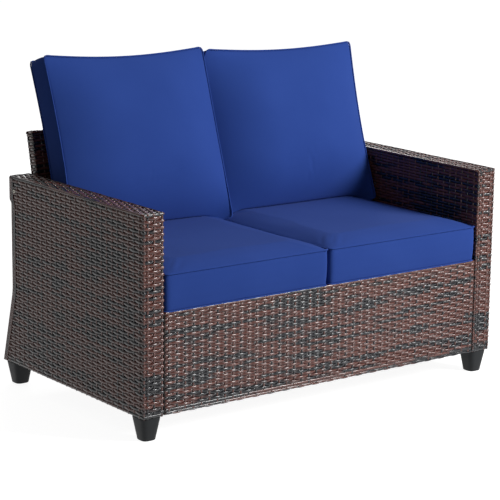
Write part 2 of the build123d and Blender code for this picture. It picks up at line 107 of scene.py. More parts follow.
# Zinc on steel: grey with a faint crystal spangle and the lay of the turning, half bright
zinc, tree = new_material("zinc_plated_steel")
place = {"Vector": add_node(tree, "ShaderNodeTexCoord").outputs["Object"]}
spangle_size = 0.0022
spangle = add_node(tree, "ShaderNodeTexVoronoi", {"Scale": 1 / spangle_size}, place)
lay_size = 0.0006
lay = add_node(tree, "ShaderNodeTexNoise", {"Scale": 1 / lay_size, "Detail": 3.0}, place)
tones = {6: linear("#8b897f"), 7: linear("#a9a79f")}
tone = add_node(tree, "ShaderNodeMix", tones, {0: spangle.outputs["Distance"]}, data_type="RGBA")
bounds = {"To Min": 0.26, "To Max": 0.44}
rough = add_node(tree, "ShaderNodeMapRange", bounds, {"Value": lay.outputs[0]})
shader = add_node(
    tree,
    "ShaderNodeBsdfPrincipled",
    {"Metallic": 1.0},
    {"Base Color": tone.outputs[2], "Roughness": rough.outputs[0]},
)
add_node(tree, "ShaderNodeOutputMaterial", links={"Surface": shader.outputs[0]})
fasteners = ("bolts", "washers", "nuts", "studs")
dress(zinc, *[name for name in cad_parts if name.split("_")[1] in fasteners])

# Feet. Tapered blocks of black polypropylene, injection moulded with rounded corners, each
# screwed up under an arm by its stud.
foot_corner = 0.006
foot_edge = 0.0025
foot_rim = 0.005
foot_rim_edge = 0.0008


def foot_blend(turn, half, corner):
    """A square with rounded corners: cosine and sine raised to a power set by corner / half."""
    power = 2 * corner / half
    return (
        half * np.sign(np.cos(turn)) * np.abs(np.cos(turn)) ** power,
        half * np.sign(np.sin(turn)) * np.abs(np.sin(turn)) ** power,
    )


def put_mesh(name, points, faces, material, body, strand_uv=None):
    """A smooth-shaded piece from arrays of points and faces, riding on a body."""
    mesh = bpy.data.meshes.new(name)
    mesh.from_pydata(points, [], faces)
    mesh.polygons.foreach_set("use_smooth", np.ones(len(mesh.polygons), bool))
    if strand_uv is not None:
        layer = mesh.uv_layers.new(name="strand")
        layer.data.foreach_set("uv", strand_uv.astype(np.float32).ravel())
        # A strand's underside, the last face of its section, stays flat shaded
        under = strand_uv[:, 0, 1] % 1 > 0.7
        mesh.polygons.foreach_set("use_smooth", ~under)
    mesh.materials.append(material)
    piece = bpy.data.objects.new(name, mesh)
    bpy.context.scene.collection.objects.link(piece)
    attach(piece, body)
    return piece


def tube_faces(rings, around):
    """Four-sided faces between rings of points, with a flat cap on the first and last ring."""
    index = np.arange(rings * around).reshape(rings, around)
    after = np.roll(index, -1, 1)
    sides = np.stack([index[:-1], after[:-1], after[1:], index[1:]], -1).reshape(-1, 4)
    return [*sides.tolist(), index[0][::-1].tolist(), index[-1].tolist()]


# Polypropylene from a sparked mould: black, half matt, with a fine grain and dull scuffs
moulded_black, tree = new_material("moulded_polypropylene")
place = {"Vector": add_node(tree, "ShaderNodeTexCoord").outputs["Object"]}
grain_size = 0.0009
grain = add_node(tree, "ShaderNodeTexNoise", {"Scale": 1 / grain_size, "Detail": 3.0}, place)
scuff_size = 0.012
scuffs = add_node(tree, "ShaderNodeTexNoise", {"Scale": 1 / scuff_size, "Detail": 6.0}, place)
tones = {6: linear("#141618"), 7: linear("#232629")}
tone = add_node(tree, "ShaderNodeMix", tones, {0: scuffs.outputs[0]}, data_type="RGBA")
bounds = {"To Min": 0.38, "To Max": 0.6}
rough = add_node(tree, "ShaderNodeMapRange", bounds, {"Value": scuffs.outputs[0]})
relief = {"Strength": 0.35, "Distance": 0.0002}
skin = add_node(tree, "ShaderNodeBump", relief, {"Height": grain.outputs[0]})
shader = add_node(
    tree,
    "ShaderNodeBsdfPrincipled",
    {"IOR": 1.49, "Specular IOR Level": 0.25},
    {"Base Color": tone.outputs[2], "Roughness": rough.outputs[0], "Normal": skin.outputs[0]},
)
add_node(tree, "ShaderNodeOutputMaterial", links={"Surface": shader.outputs[0]})

# A foot is 40 mm wide at the floor and 57 mm at the top
foot_share = 40 / 57
turns = np.linspace(0, 2 * np.pi, 48, endpoint=False)
for end_name in ("front", "rear"):
    for side_name in ("left", "right"):
        node = f"foot_{end_name}_{side_name}"
        low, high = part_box(node)
        middle = (low + high) / 2
        top_half = (high.x - low.x) / 2
        low_half = foot_share * top_half
        # Its outline from the floor up: a rounded edge, the taper, and an upright rim
        edge_turn = np.linspace(0, np.pi / 2, 4)
        rim_halves = [top_half, top_half, top_half - foot_edge / 3]
        rim_heights = [high.z - foot_rim, high.z - foot_rim_edge, high.z]
        halves = np.concatenate([low_half - foot_edge * (1 - np.sin(edge_turn)), rim_halves])
        heights = np.concatenate([foot_edge * (1 - np.cos(edge_turn)), rim_heights])
        x, y = foot_blend(turns, halves[:, None], foot_corner)
        z = np.broadcast_to(heights[:, None], x.shape)
        points = np.stack([middle.x + x, middle.y + y, z], -1).reshape(-1, 3)
        faces = tube_faces(len(halves), len(turns))
        foot = put_mesh(
            f"moulded_{node}", points, faces, moulded_black, "seat_base"
        )
        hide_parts(node)

# Arm weave. Flat polyethylene strands, extruded in charcoal and reddish brown, woven by hand
# round each arm over upright stakes, with plain border strands along the edges.
row_pitch = 0.00826
stake_pitch = 0.0241
stake_start = 0.0201
strand_share = 1.13
strand_crown = 0.0012
stake_width = 0.0058
stake_crown = 0.0010
swing = 0.0016
weave_depth = 0.0026
stake_swing = 0.6 * swing
edge_radius = 0.005
wave_sharpness = 1.7
width_spread = 0.02
border_ripple = 0.0002
border_ripples = 9

# A strand's section, once round: shares of half its width across it, and of its crown outwards
section_across = np.array([1.0, 0.55, -0.55, -1.0])
section_rise = np.array([-1.3, 1.0, 1.0, -1.3])
section_points = len(section_across)
to_right, to_rear, upwards = np.eye(3)
rng = np.random.default_rng(11)


def unit(vectors):
    """Each vector over its own length."""
    return vectors / np.linalg.norm(vectors, axis=-1, keepdims=True)


def strands(centre, outward, width, crown, first_row, closed=False):
    """Flat strands with rounded shoulders, from arrays of rows x samples x 3.

    Across = outward x tangent and up = tangent x across. A sample's points are
    centre + width / 2 * section_across * across + crown * section_rise * up. first_row numbers
    the strands from there on, which only picks their colours."""
    if closed:
        tangent = np.roll(centre, -1, 1) - np.roll(centre, 1, 1)
    else:
        tangent = np.gradient(centre, axis=1)
    across = unit(np.cross(outward, tangent))
    up = unit(np.cross(tangent, across))
    width = np.broadcast_to(width, centre.shape[:1])[:, None, None, None]
    sideways = width / 2 * section_across[:, None] * across[:, :, None]
    points = centre[:, :, None] + sideways + crown * section_rise[:, None] * up[:, :, None]
    rows, samples = centre.shape[:2]
    index = np.arange(rows * samples * section_points).reshape(rows, samples, section_points)
    here, there = (index, np.roll(index, -1, 1)) if closed else (index[:, :-1], index[:, 1:])
    beside = [np.roll(ring, -1, 2) for ring in (here, there)]
    faces = np.stack([here, beside[0], beside[1], there], -1)
    step = np.linalg.norm(np.diff(centre, axis=1, append=centre[:, :1]), axis=-1)
    along = np.concatenate([np.zeros((rows, 1)), np.cumsum(step, 1)], 1)
    spans = here.shape[1]
    level = np.zeros(here.shape)
    v = np.arange(rows)[:, None, None] + first_row + level
    v = v + (np.arange(section_points) / section_points + level)
    next_v = v + 1 / section_points
    start, end = along[:, :spans, None] + level, along[:, 1 : spans + 1, None] + level
    corners = ((start, v), (start, next_v), (end, next_v), (end, v))
    uv = np.stack([np.stack(corner, -1) for corner in corners], -2)
    faces, uv = faces.reshape(-1, 4), uv.reshape(-1, 4, 2)
    if not closed:
        caps = np.concatenate([index[:, 0, ::-1], index[:, -1]])
        cap_uv = np.zeros((len(caps), 4, 2))
        faces, uv = np.concatenate([faces, caps]), np.concatenate([uv, cap_uv])
    return points.reshape(-1, 3), faces, uv


def woven_piece(name, groups, node):
    """One piece of wicker from several groups of strands. It stands for the CAD node given."""
    starts = np.cumsum([0, *[len(points) for points, _, _ in groups]])
    piece = put_mesh(
        name,
        np.concatenate([points for points, _, _ in groups]),
        np.concatenate([faces + start for (_, faces, _), start in zip(groups, starts)]),
        wicker,
        "seat_base",
        np.concatenate([uv for _, _, uv in groups]),
    )
    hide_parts(node)


def wrap(s, span, radius):
    """A path down one side, along a face of length span and up the far side, rounded at both
    corners. At distance s along it, measured from the first corner: u runs along the face and
    w inwards from it, then the outward direction's parts along u and w."""
    first = np.clip((s + radius) / (2 * radius), 0, 1) * np.pi / 2
    last = np.clip((s - span + radius) / (2 * radius), 0, 1) * np.pi / 2
    along = np.clip(s - radius, 0, span - 2 * radius)
    u = radius * (1 - np.cos(first)) + along + radius * np.sin(last)
    w = radius * (2 - np.sin(first) - np.cos(last)) + np.maximum(-s - radius, 0)
    w = w + np.maximum(s - span - radius, 0)
    return u, w, -np.cos(first + last), -np.sin(first + last)


def on_path(s, offset, shift, profile):
    """Points at distance s along a wrapped path, raised outwards by the offset and moved by the
    shift, and their outward directions. A profile is the path's span and corner radius, the
    place of its first corner, and the ways that u and w run from there."""
    span, radius, start, ways = profile
    u, w, out_u, out_w = (value[..., None] for value in wrap(s, span, radius))
    outward = out_u * ways[0] + out_w * ways[1]
    centre = start + shift + u * ways[0] + w * ways[1] + offset[..., None] * outward
    return centre, np.broadcast_to(outward, centre.shape)


def wave(turns_of_weave):
    """Over and under, steeper than a cosine: tanh(k cos(pi t)) / tanh(k)."""
    return np.tanh(wave_sharpness * np.cos(np.pi * turns_of_weave)) / np.tanh(wave_sharpness)


def straight_strand(start, end, outward, first_row, width, samples=60):
    """A border strand pulled straight, a little uneven: start to end with a slow ripple."""
    share = np.linspace(0, 1, samples)[None, :, None]
    ripple = border_ripple * np.sin(2 * np.pi * (share * border_ripples + rng.random()))
    centre = np.array(start) + share * (np.array(end) - np.array(start))
    out = unit(np.array(outward, float)) * np.ones(centre.shape)
    return strands(centre + out * ripple, out, width, strand_crown, first_row)


# Resin wicker, extruded from polyethylene: strands change between charcoal and reddish brown in
# stretches of a hand or two, alike over a few rows, are finely grooved along, and shine softly
wicker, tree = new_material("resin_wicker")
strand_place = add_node(tree, "ShaderNodeUVMap", uv_map="strand")
parts = add_node(tree, "ShaderNodeSeparateXYZ", links={0: strand_place.outputs[0]})
row_number = add_node(tree, "ShaderNodeMath", links={0: parts.outputs[1]}, operation="FLOOR")
length_size = 0.3
rows_alike = 3.0
lengthwise = add_node(
    tree, "ShaderNodeMath", {1: 1 / length_size}, {0: parts.outputs[0]}, operation="MULTIPLY"
)
rowwise = add_node(
    tree, "ShaderNodeMath", {1: 1 / rows_alike}, {0: row_number.outputs[0]}, operation="MULTIPLY"
)
patch_place = add_node(
    tree, "ShaderNodeCombineXYZ", links={0: lengthwise.outputs[0], 1: rowwise.outputs[0]}
)
patch = add_node(
    tree, "ShaderNodeTexNoise", {"Scale": 1.0, "Detail": 2.0}, {"Vector": patch_place.outputs[0]}
)
single_place = add_node(
    tree, "ShaderNodeCombineXYZ", links={0: lengthwise.outputs[0], 1: row_number.outputs[0]}
)
single = add_node(
    tree, "ShaderNodeTexNoise", {"Scale": 3.1, "Detail": 1.0}, {"Vector": single_place.outputs[0]}
)
ragged = add_node(
    tree, "ShaderNodeMix", {0: 0.28}, {2: patch.outputs[0], 3: single.outputs[0]}, data_type="FLOAT"
)
brown_share = add_node(
    tree,
    "ShaderNodeMapRange",
    {"From Min": 0.45, "From Max": 0.5},
    {"Value": ragged.outputs[0]},
    interpolation_type="SMOOTHSTEP",
)
tones = {6: linear("#15161a"), 7: linear("#2b2c31")}
charcoal = add_node(tree, "ShaderNodeMix", tones, {0: single.outputs[0]}, data_type="RGBA")
tones = {6: linear("#452520"), 7: linear("#70443b")}
brown = add_node(tree, "ShaderNodeMix", tones, {0: single.outputs[0]}, data_type="RGBA")
mixed = {0: brown_share.outputs[0], 6: charcoal.outputs[2], 7: brown.outputs[2]}
tone = add_node(tree, "ShaderNodeMix", links=mixed, data_type="RGBA")
groove_length = 0.02
grooves_across = 7.0
groove_place = add_node(
    tree,
    "ShaderNodeMapping",
    {"Scale": (1 / groove_length, grooves_across, 1.0)},
    {"Vector": strand_place.outputs[0]},
)
grooves = add_node(
    tree, "ShaderNodeTexNoise", {"Scale": 1.0, "Detail": 2.0}, {"Vector": groove_place.outputs[0]}
)
relief = {"Strength": 0.15, "Distance": 0.0002}
skin = add_node(tree, "ShaderNodeBump", relief, {"Height": grooves.outputs[0]})
bounds = {"To Min": 0.18, "To Max": 0.28}
rough = add_node(tree, "ShaderNodeMapRange", bounds, {"Value": grooves.outputs[0]})
shader = add_node(
    tree,
    "ShaderNodeBsdfPrincipled",
    {"IOR": 1.52, "Specular IOR Level": 0.54},
    {"Base Color": tone.outputs[2], "Roughness": rough.outputs[0], "Normal": skin.outputs[0]},
)
add_node(tree, "ShaderNodeOutputMaterial", links={"Surface": shader.outputs[0]})

# The arm's rear edge from the side: an overhanging band, a waist and a raked leg
arm_band = 0.062
arm_overhang = 0.009
arm_waist = 0.287
rake_height = 0.262
bend_radius = 0.150


def rear_edge(z, low, high):
    """The rear edge's Y at height z: level band, 45 degree step, waist, arc, raked line."""
    slope = (high.y - arm_waist) / (rake_height - low.z)
    angle = math.atan(slope)
    arc_top = rake_height + bend_radius * math.tan(angle / 2)
    drop = np.clip(arc_top - z, 0, bend_radius * math.sin(angle))
    arc = arm_waist + bend_radius - np.sqrt(bend_radius**2 - drop**2)
    raked = high.y - slope * (z - low.z)
    below = np.where(z < arc_top - bend_radius * math.sin(angle), raked, arc)
    step = np.clip(z - (high.z - arm_band - arm_overhang), 0, arm_overhang)
    return below + step


# Stakes across each arm's front, as distances from its left edge
front_stakes = {
    "left": (0.004, 0.015, 0.034, 0.057),
    "right": (0.004, 0.0125, 0.023, 0.0466, 0.0615),
}
side_stakes = 26
rake_stakes = 2
rear_stakes = 3
top_rows = 7
border_strands = 3
border_pitch = 0.0062
border_share = 0.95
border_start = 0.0045

# The sides are woven flatter than the front, from flat_from half widths off its middle on.
# Rows sag a little, each in places of its own.
side_flatness = 0.4
flat_from = 1.1
row_sag = 0.0003
sag_length = 0.31

# Samples: along a straight run six to a stake, and closer round the bends
sample_step = stake_pitch / 6
run_start, run_end = 0.008, 0.600
front_bend = np.array([-0.006, -0.004, -0.002, 0.0, 0.002, 0.004])
top_bend = np.array([-0.004, -0.002, 0.0, 0.002, 0.004])
rear_bend = np.array([-0.006, -0.003, 0.0, 0.003])
face_margin, face_step = 0.006, 0.0037
rear_margin, rear_step = 0.004, 0.004
top_margin = 0.003
stake_end = 0.002
fewest_samples = 8
edge_inset = 0.0022

for side_name in ("left", "right"):
    node = f"arm_weave_{side_name}"
    low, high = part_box(node)
    span = high.x - low.x
    height = high.z - low.z
    rows = round(height / row_pitch)
    pitch = height / rows
    row_heights = low.z + pitch * (np.arange(rows) + 0.5)
    stakes = np.array(front_stakes[side_name])
    out_stakes = stake_start + stake_pitch * np.arange(side_stakes + rake_stakes)
    stake_places = np.concatenate([-out_stakes[::-1], stakes, span + out_stakes])
    stake_turns = np.arange(len(stake_places)) - len(out_stakes)

    # Rows: in from the rear of one side, round the front, and back along the other side
    ends = rear_edge(row_heights, low, high)[:, None] - low.y
    side_run = np.arange(run_start, run_end, sample_step)
    tail = np.linspace(0, 1, 9)[1:]
    far = side_run[-1] + tail * (ends - border_pitch - side_run[-1])
    face_run = np.arange(face_margin, span - face_margin, face_step)
    middle = np.concatenate(
        [-side_run[::-1], front_bend, face_run, span - front_bend[::-1], span + side_run]
    )
    s = np.concatenate([-far[:, ::-1], np.broadcast_to(middle, (rows, len(middle))), span + far], 1)
    turns_here = np.interp(s, stake_places, stake_turns) + np.arange(rows)[:, None]
    lift = np.full(rows, swing)
    lift[0] = lift[-1] = 0.0
    on_side = np.clip(np.abs(s - span / 2) / (span / 2) - flat_from, 0, 1)
    offset = lift[:, None] * (1 - side_flatness * on_side) * wave(turns_here) - weave_depth
    sag = row_sag * np.sin(2 * np.pi * (s / sag_length + rng.random((rows, 1))))
    front = (span, edge_radius, np.array([low.x, low.y, 0]), (to_right, to_rear))
    shift = (row_heights[:, None] + sag)[..., None] * upwards
    centre, outward = on_path(s, offset, shift, front)
    widths = strand_share * pitch * (1 + width_spread * rng.standard_normal(rows))
    row_group = strands(centre, outward, widths, strand_crown, 0)
    woven_piece(f"woven_rows_arm_{side_name}", [row_group], node)

    # Stakes: upright on both sides and on the front, under and over the rows in turn
    groups = []
    level = np.linspace(low.z, high.z - stake_end, 2 * rows + 1)
    row_at = (level - low.z) / pitch - 0.5
    for place, turn in zip(stake_places, stake_turns):
        from_front = wrap(place, span, edge_radius)[1]
        inside = rear_edge(level, low, high) > low.y + from_front + border_pitch
        if inside.sum() < fewest_samples:
            continue
        offset = -stake_swing * wave(turn + row_at[inside]) - weave_depth
        centre, outward = on_path(place, offset, level[inside, None] * upwards, front)
        groups.append(strands(centre[None], outward[None], stake_width, stake_crown, 300 + turn))
    woven_piece(f"woven_stakes_arm_{side_name}", groups, node)

    # Top: rows along the arm, bent down at both ends, over stakes laid across it
    groups = []
    top_length = arm_waist + arm_overhang - low.y
    top_pitch = (span - 2 * top_margin) / top_rows
    row_places = low.x + top_margin + top_pitch * (np.arange(top_rows) + 0.5)
    straight = np.arange(run_start, top_length - face_margin, sample_step)
    run = np.concatenate([top_bend, straight, top_length + top_bend])
    turns_here = (run - stake_start) / stake_pitch + np.arange(top_rows)[:, None]
    offset = swing * wave(turns_here) - weave_depth
    top = (top_length, edge_radius, np.array([0, low.y, high.z]), (to_rear, -upwards))
    centre, outward = on_path(run, offset, row_places[:, None, None] * to_right, top)
    groups.append(strands(centre, outward, strand_share * top_pitch, strand_crown, 500))
    across_run = np.linspace(low.x + stake_end, high.x - stake_end, 2 * top_rows + 1)
    row_at = (across_run - low.x - top_margin) / top_pitch - 0.5
    for number in range(side_stakes):
        offset = -stake_swing * wave(number + row_at) - weave_depth
        y = np.full(across_run.shape, low.y + out_stakes[number])
        centre = np.stack([across_run, y, high.z + offset], -1)[None]
        outward = np.broadcast_to(upwards, centre.shape)
        groups.append(strands(centre, outward, stake_width, stake_crown, 520 + number))

    # Rear edge: rows across it, from one side's border to the other
    rear_ys = rear_edge(row_heights, low, high)
    straight = np.arange(face_margin, span - rear_margin, rear_step)
    run = np.concatenate([rear_bend, straight, span - rear_bend[::-1]])
    turns_here = (run - face_margin) / ((span - 2 * face_margin) / rear_stakes)
    offset = swing * wave(turns_here + np.arange(rows)[:, None]) - weave_depth
    rear = (span, edge_radius, low.x * to_right, (to_right, -to_rear))
    shift = (rear_ys[:, None] * to_rear + row_heights[:, None] * upwards)[:, None]
    centre, outward = on_path(run, offset, shift, rear)
    groups.append(strands(centre, outward, strand_share * pitch, strand_crown, 560))

    # Borders: strands along the rear edge of both sides and along the top's two long edges
    z = np.linspace(low.z, high.z - top_margin, 120)
    for x, out_x in ((low.x, -1.0), (high.x, 1.0)):
        border_x = np.full(z.shape, x - out_x * (weave_depth - swing))
        for number in range(border_strands):
            y = rear_edge(z, low, high) - (border_start + border_pitch * number)
            centre = np.stack([border_x, y, z], -1)[None]
            outward = np.broadcast_to(out_x * to_right, centre.shape)
            width = border_share * border_pitch
            groups.append(strands(centre, outward, width, strand_crown, 640 + number))
        start = (x - out_x * edge_inset, low.y + top_margin, high.z - edge_inset)
        end = (x - out_x * edge_inset, low.y + top_length - top_margin, high.z - edge_inset)
        groups.append(straight_strand(start, end, (out_x, 0.0, 1.0), 650, row_pitch))
    woven_piece(f"woven_top_arm_{side_name}", groups, node)

# Aprons. Rows of the same strand over stakes, turned in under the bottom rail, with a plain
# strand along the top and two along the bottom.
apron_row_pitch = 0.0076
apron_stake_pitch = 0.0245
plain_lift = 0.2


def level_rows(s, profile, half, first_row, plain_rows=(), samples=6):
    """Rows along X at distances s round a profile, waved over stakes from -half to half."""
    stakes_along = round(2 * half / apron_stake_pitch)
    x = np.linspace(-half, half, stakes_along * samples + 1)
    turns_here = (x + half) / (2 * half) * stakes_along + 0.5 + np.arange(len(s))[:, None]
    lift = np.where(np.isin(np.arange(len(s)), plain_rows), plain_lift, 1.0) * swing
    offset = lift[:, None] * wave(turns_here) - weave_depth
    centre, outward = on_path(s[:, None], offset, x[:, None] * to_right, profile)
    widths = strand_share * abs(s[1] - s[0]) * (1 + width_spread * rng.standard_normal(len(s)))
    return strands(centre, outward, widths, strand_crown, first_row)


def level_stakes(s, profile, half, first_row):
    """The stakes of level_rows: one path down the profile at each stake's X, waved against it."""
    stakes_along = round(2 * half / apron_stake_pitch)
    x = (np.arange(stakes_along) + 0.5) / stakes_along * 2 * half - half
    fine = np.interp(np.arange(2 * len(s) - 1) / 2, np.arange(len(s)), s)
    turns_here = 1 + np.arange(stakes_along)[:, None] + np.arange(len(fine)) / 2
    offset = -stake_swing * wave(turns_here) - weave_depth
    centre, outward = on_path(fine, offset, x[:, None, None] * to_right, profile)
    return strands(centre, outward, stake_width, stake_crown, first_row)


for end_name, inward in (("front", 1), ("rear", -1)):
    node = f"apron_weave_{end_name}"
    low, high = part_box(node)
    depth = high.y - low.y
    drop = high.z - low.z
    rows = round((drop + 2 * depth) / apron_row_pitch)
    s = np.linspace(-drop + apron_row_pitch / 2, 2 * depth - apron_row_pitch / 2, rows)
    last_on_face = round(drop / apron_row_pitch) - 1
    plain = (0, last_on_face, last_on_face - 1)
    corner = np.array([0, low.y if inward > 0 else high.y, low.z])
    profile = (depth, edge_radius, corner, (inward * to_rear, upwards))
    apron_rows = level_rows(s, profile, high.x, 700, plain)
    apron_stakes = level_stakes(s, profile, high.x, 800)
    woven_piece(f"woven_rows_apron_{end_name}", [apron_rows], node)
    woven_piece(f"woven_stakes_apron_{end_name}", [apron_stakes], node)

# Deck. The same strands woven tight over the seat frame and its cross bars, with a little more
# room between the rows, to carry the seat cushions.
deck_pitch = 0.0096
deck_radius = 0.0005
low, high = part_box("seat_deck_weave")
depth = high.y - low.y
s = np.linspace(deck_pitch / 2, depth - deck_pitch / 2, round(depth / deck_pitch))
profile = (depth, deck_radius, np.array([0, low.y, high.z]), (to_rear, -upwards))
deck_rows = level_rows(s, profile, high.x, 900, samples=4)
deck_stakes = level_stakes(s, profile, high.x, 1000)
woven_piece("woven_seat_deck", [deck_rows, deck_stakes], "seat_deck_weave")

# Back panel. Rows woven right round the leaning frame, over stakes on both faces, with the
# top edge closed by rows laid along it.
back_lean = math.radians(12)
panel_thick = 0.031
low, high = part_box("back_weave")
panel_up = np.array([0.0, math.sin(back_lean), math.cos(back_lean)])
panel_out = np.array([0.0, -math.cos(back_lean), math.sin(back_lean)])
panel_foot = np.array([0.0, low.y, low.z])
panel_length = (high.z - low.z) / math.cos(back_lean)
panel_end = 0.003
half = high.x
edge_stake = 0.004
stakes_along = 42
samples_along = stakes_along * 5 + 1


def on_panel(x, up, depth):
    """Points at x, this far up the leaning front face and this far behind it."""
    x, up, depth = (value[..., None] for value in np.broadcast_arrays(x, up, depth))
    return panel_foot + x * to_right + up * panel_up - depth * panel_out


# Rows: a loop across the front face, round one end, back across the rear and round the other
rows = round(panel_length / apron_row_pitch)
ups = panel_length / rows * (np.arange(rows) + 0.5)
end_run = np.array([-panel_thick / 2, *rear_bend[:3]])
face_samples = np.linspace(edge_stake, 2 * half - edge_stake, samples_along)
run = np.concatenate([end_run, face_samples, 2 * half - end_run[:1:-1]])
known_places = [run[0], edge_stake, 2 * half - edge_stake, 2 * half - run[0]]
turns_here = np.interp(run, known_places, [-0.5, 0, stakes_along, stakes_along + 0.5])
faces_round = []
for facing, depth, first_turn in ((1, 0.0, 0), (-1, panel_thick, stakes_along + 1)):
    offset = swing * wave(first_turn + turns_here + np.arange(rows)[:, None]) - weave_depth
    ways = (facing * to_right, -facing * panel_out)
    profile = (2 * half, edge_radius, on_panel(-facing * half, 0.0, depth), ways)
    faces_round.append(on_path(run, offset, ups[:, None, None] * panel_up, profile))
centre, outward = [np.concatenate(arrays, 1) for arrays in zip(*faces_round)]
widths = strand_share * apron_row_pitch * (1 + width_spread * rng.standard_normal(rows))
row_group = strands(centre, outward, widths, strand_crown, 1100, closed=True)
woven_piece("woven_rows_back", [row_group], "back_weave")

# Stakes: up both faces, under and over the rows in turn
groups = []
levels = np.linspace(0, panel_length - panel_end, 2 * rows + 1)
row_at = levels / (panel_length / rows) - 0.5
stake_span = 2 * half - 2 * edge_stake
stake_xs = edge_stake + np.arange(stakes_along + 1) * stake_span / stakes_along - half
for facing, depth, first_turn, first_row in (
    (1, 0.0, 0, 1200),
    (-1, panel_thick, stakes_along + 1, 1250),
):
    turns_here = first_turn + np.arange(stakes_along + 1)[:, None] + row_at
    offset = -stake_swing * wave(turns_here) - weave_depth
    centre = on_panel(facing * stake_xs[:, None], levels, depth - facing * offset)
    outward = np.broadcast_to(facing * panel_out, centre.shape)
    groups.append(strands(centre, outward, stake_width, stake_crown, first_row))

# Top edge: rows laid along it, and a plain strand along each of its corners
edge_rows = 3
spare_rows = 0.6
edge_pitch = panel_thick / (edge_rows + spare_rows)
x = np.linspace(-half + panel_end, half - panel_end, samples_along)
turns_here = (x + half) / (2 * half) * stakes_along + np.arange(edge_rows)[:, None]
offset = swing * wave(turns_here) - weave_depth
depths = panel_thick / 2 + edge_pitch * (np.arange(edge_rows) - (edge_rows - 1) / 2)
centre = on_panel(x, panel_length + offset, depths[:, None])
outward = np.broadcast_to(panel_up, centre.shape)
groups.append(strands(centre, outward, strand_share * edge_pitch, strand_crown, 1300))
for facing, depth in ((1, panel_end), (-1, panel_thick - panel_end)):
    start = on_panel(-half, panel_length - panel_end, depth)
    end = on_panel(half, panel_length - panel_end, depth)
    outward = panel_up + facing * panel_out
    groups.append(straight_strand(start, end, outward, 1320, row_pitch, 120))
woven_piece("woven_stakes_back", groups, "back_weave")

# Seat cushions. A foam block in a cut and sewn cover of woven polyester: a top and a bottom
# panel joined by a boxing strip, with a narrow welt sewn into both seams.
seat_cell = 0.0062
seat_seam_drop = 0.016
seat_crown = 0.0175
seat_lift = 0.0004
seat_gap = 0.001
seam_inset = 0.001
seat_front_gap = 0.0005

# Corners and sides go round a cushion from its front or lower left: radii, how far each side is
# drawn in, and how far in from each side the crown is reached. tuck_reach is a back cushion's.
seat_radii = (0.012, 0.012, 0.026, 0.026)
seat_bows = (0.0, 0.0, 0.002, 0.0)
seat_top_reach = (0.07, 0.06, 0.06, 0.06)
seat_bottom_reach = (0.1, 0.1, 0.1, 0.1)
seat_pressure, seat_cap = 3.0, 0.003
seat_side_room = 0.0005
seat_deck_gap = 0.0002
strip_bulge = 0.002
tuck_reach = 0.18
welt_radius = 0.0021
welt_stand_share = 0.35
fill_frames = 20

# Solution-dyed polyester in a plain weave: royal blue, matt, with a faint sheen at the edges.
# Its threads are drawn 1.1 mm apart, about twice the real spacing, so that they show, with painted
# shade in the gaps between them.
thread_size = 0.0011
fabric, tree = new_material("woven_polyester")
place = {"Vector": add_node(tree, "ShaderNodeTexCoord").outputs["Object"]}
threads = add_node(
    tree, "ShaderNodeTexVoronoi", {"Scale": 1 / thread_size, "Randomness": 0.55}, place
)
cloud_size = 0.16
clouds = add_node(tree, "ShaderNodeTexNoise", {"Scale": 1 / cloud_size, "Detail": 3.0}, place)
tones = {6: linear("#29438b"), 7: linear("#304b96")}
tone = add_node(tree, "ShaderNodeMix", tones, {0: clouds.outputs[0]}, data_type="RGBA")
# Painted shade: the colour darkens by up to 14 % towards the gaps between threads, where the
# weave's hollows would be in shade
gap = threads.outputs["Distance"]
bounds = {"To Min": 1.0, "To Max": 0.86}
painted_gap_shade = add_node(tree, "ShaderNodeMapRange", bounds, {"Value": gap})
mixed = {6: tone.outputs[2], 7: painted_gap_shade.outputs[0]}
shaded = add_node(
    tree, "ShaderNodeMix", {0: 1.0}, mixed, data_type="RGBA", blend_type="MULTIPLY"
)
relief = {"Strength": 0.25, "Distance": 0.0003}
skin = add_node(tree, "ShaderNodeBump", relief, {"Height": gap}, invert=True)
shader = add_node(
    tree,
    "ShaderNodeBsdfPrincipled",
    {"Roughness": 0.85, "Specular IOR Level": 0.05, "Sheen Weight": 0.03, "Sheen Roughness": 0.5},
    {"Base Color": shaded.outputs[2], "Normal": skin.outputs[0]},
)
add_node(tree, "ShaderNodeOutputMaterial", links={"Surface": shader.outputs[0]})


def resample(line, count):
    """Points at equal distances along a line of points."""
    steps = np.linalg.norm(np.diff(line, axis=0), axis=1)
    distance = np.concatenate([[0], np.cumsum(steps)])
    wanted = np.linspace(0, distance[-1], count)
    return np.stack([np.interp(wanted, distance, line[:, k]) for k in range(2)], -1)


def panel_sides(corners, radii, bows, counts):
    """A sewn panel's four sides, bottom, right, top and left, each as equally spaced points.

    Corners are rounded by a quadratic curve over the radius on both sides of each, and a side
    is drawn in by bow * sin(pi t) along it, square to it."""
    sides = []
    for k in range(4):
        here, there = corners[k], corners[(k + 1) % 4]
        before, after = corners[k - 1], corners[(k + 2) % 4]
        way = unit(there - here)
        first, last = here + radii[k] * way, there - radii[(k + 1) % 4] * way
        t = np.linspace(0.5, 1, 8)[:, None]
        came = here - radii[k] * unit(here - before)
        start = (1 - t) ** 2 * came + 2 * t * (1 - t) * here + t**2 * first
        t = np.linspace(0, 0.5, 8)[:, None]
        goes = there + radii[(k + 1) % 4] * unit(after - there)
        end = (1 - t) ** 2 * last + 2 * t * (1 - t) * there + t**2 * goes
        straight = first + np.linspace(0, 1, 60)[1:-1, None] * (last - first)
        line = np.concatenate([start, straight, end])
        share = np.linspace(0, 1, len(line))[:, None]
        inward = np.array([-way[1], way[0]])
        line = line + bows[k] * np.sin(np.pi * share) * inward
        sides.append(resample(line, counts[k % 2] + 1))
    return sides


